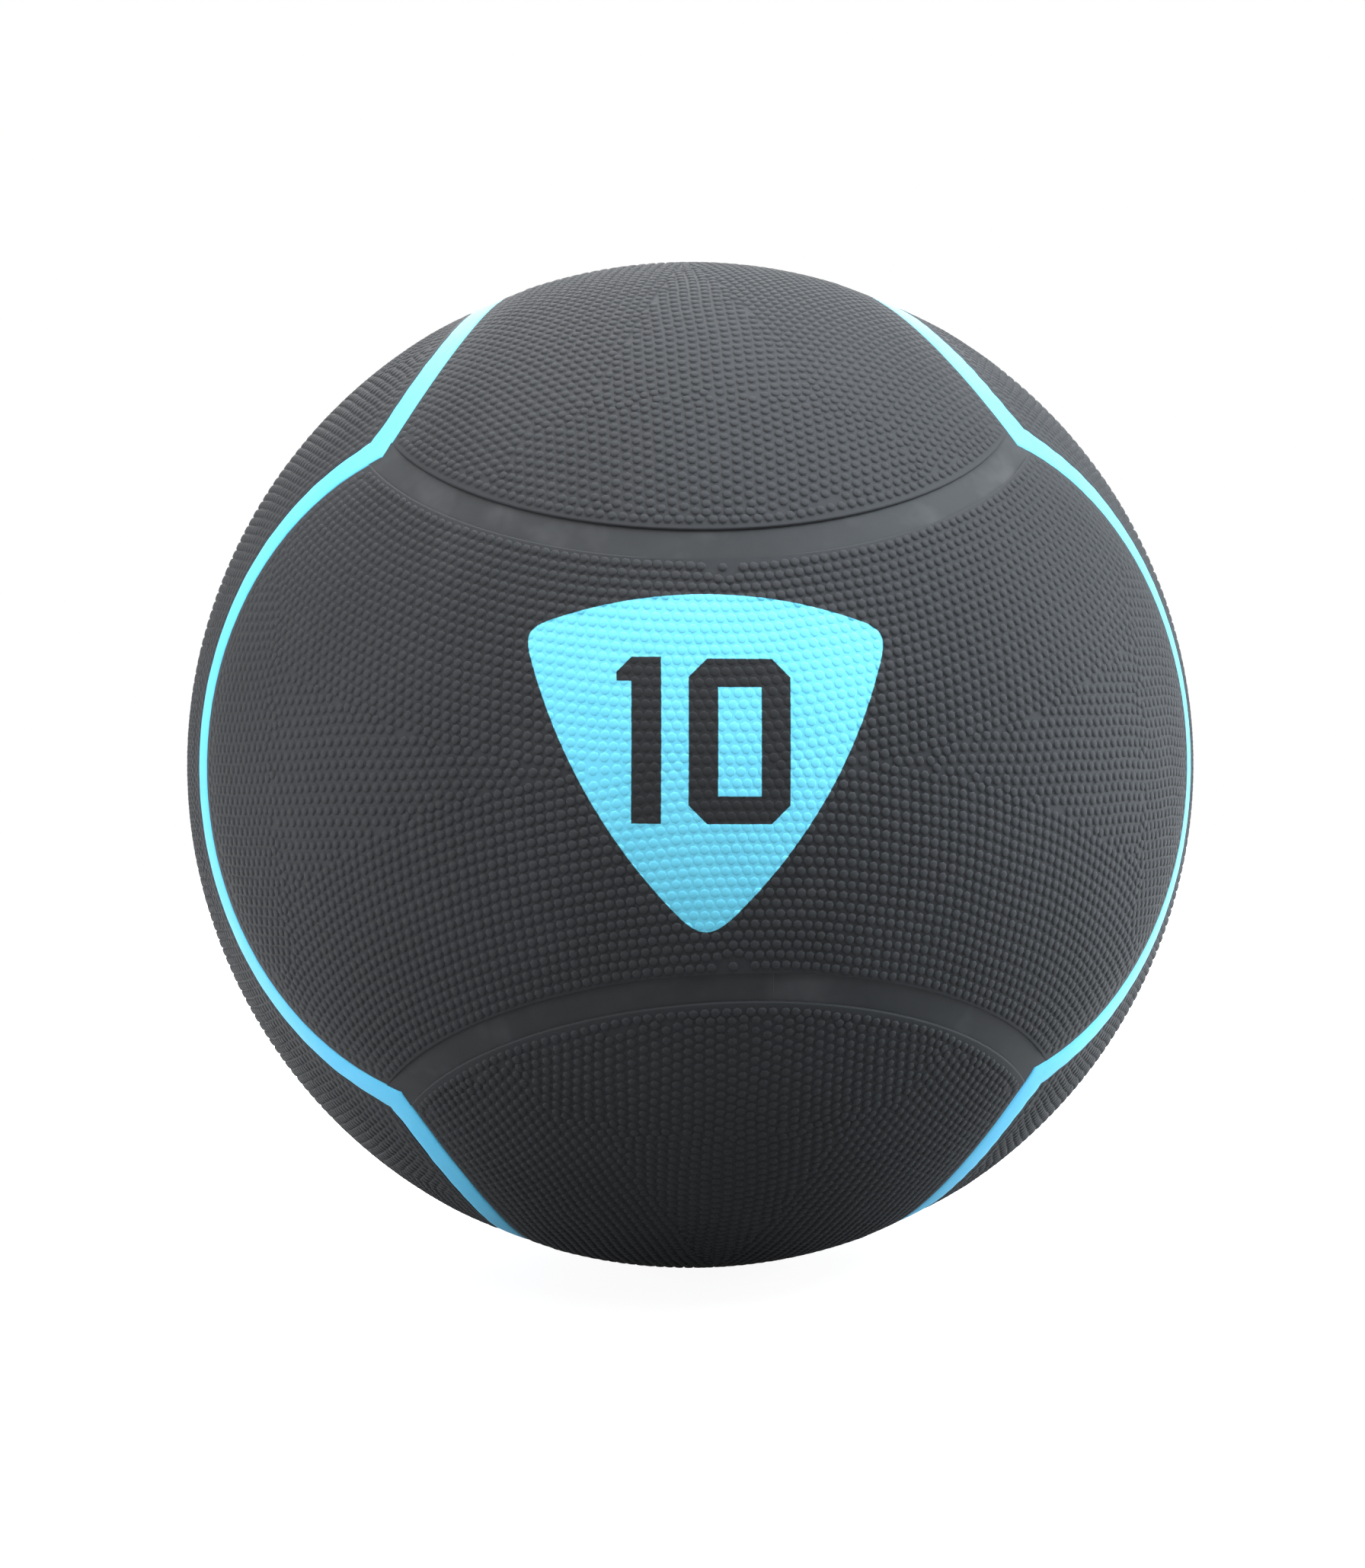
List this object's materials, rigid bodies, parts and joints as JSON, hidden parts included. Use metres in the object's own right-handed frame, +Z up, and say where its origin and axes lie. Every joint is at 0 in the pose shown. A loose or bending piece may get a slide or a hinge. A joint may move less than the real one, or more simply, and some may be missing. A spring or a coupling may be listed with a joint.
{
  "type": "medicine ball",
  "caption": "Weighted rubber exercise ball with a pebbled black grip, inlaid channels, blue side stripes, a shield-shaped weight badge and a needle valve.",
  "frame": {"origin": "the ball's middle", "axes": "+Z up through the top panel, +Y to the back through the needle valve, +X to the right; the weight badge faces -Y"},
  "size_m": [0.286, 0.2857, 0.286],
  "materials": {
    "grip_rubber": "black moulded rubber with a pebbled grip",
    "channel_rubber": "smooth matt black rubber",
    "stripe_blue": "smooth sky blue rubber paint",
    "badge_blue": "sky blue print over the grip, with plain black numerals",
    "carcass_rubber": "plain cured rubber",
    "nylon_winding": "wound nylon yarn",
    "weight_rubber": "dense filled rubber",
    "bladder_butyl": "smooth butyl rubber",
    "valve_rubber": "soft moulded rubber"
  },
  "bodies": {
    "root": {"front_panel": "grip_rubber", "back_panel": "grip_rubber", "left_panel": "grip_rubber", "right_panel": "grip_rubber", "top_panel": "grip_rubber", "bottom_panel": "grip_rubber", "top_front_channel": "channel_rubber", "top_back_channel": "channel_rubber", "bottom_front_channel": "channel_rubber", "bottom_back_channel": "channel_rubber", "left_stripe": "stripe_blue", "right_stripe": "stripe_blue", "weight_badge": "badge_blue", "carcass": "carcass_rubber", "winding": "nylon_winding", "front_weight": "weight_rubber", "back_weight": "weight_rubber", "bladder": "bladder_butyl", "valve_boot": "valve_rubber", "valve_insert": "valve_rubber"}
  },
  "joints": []
}
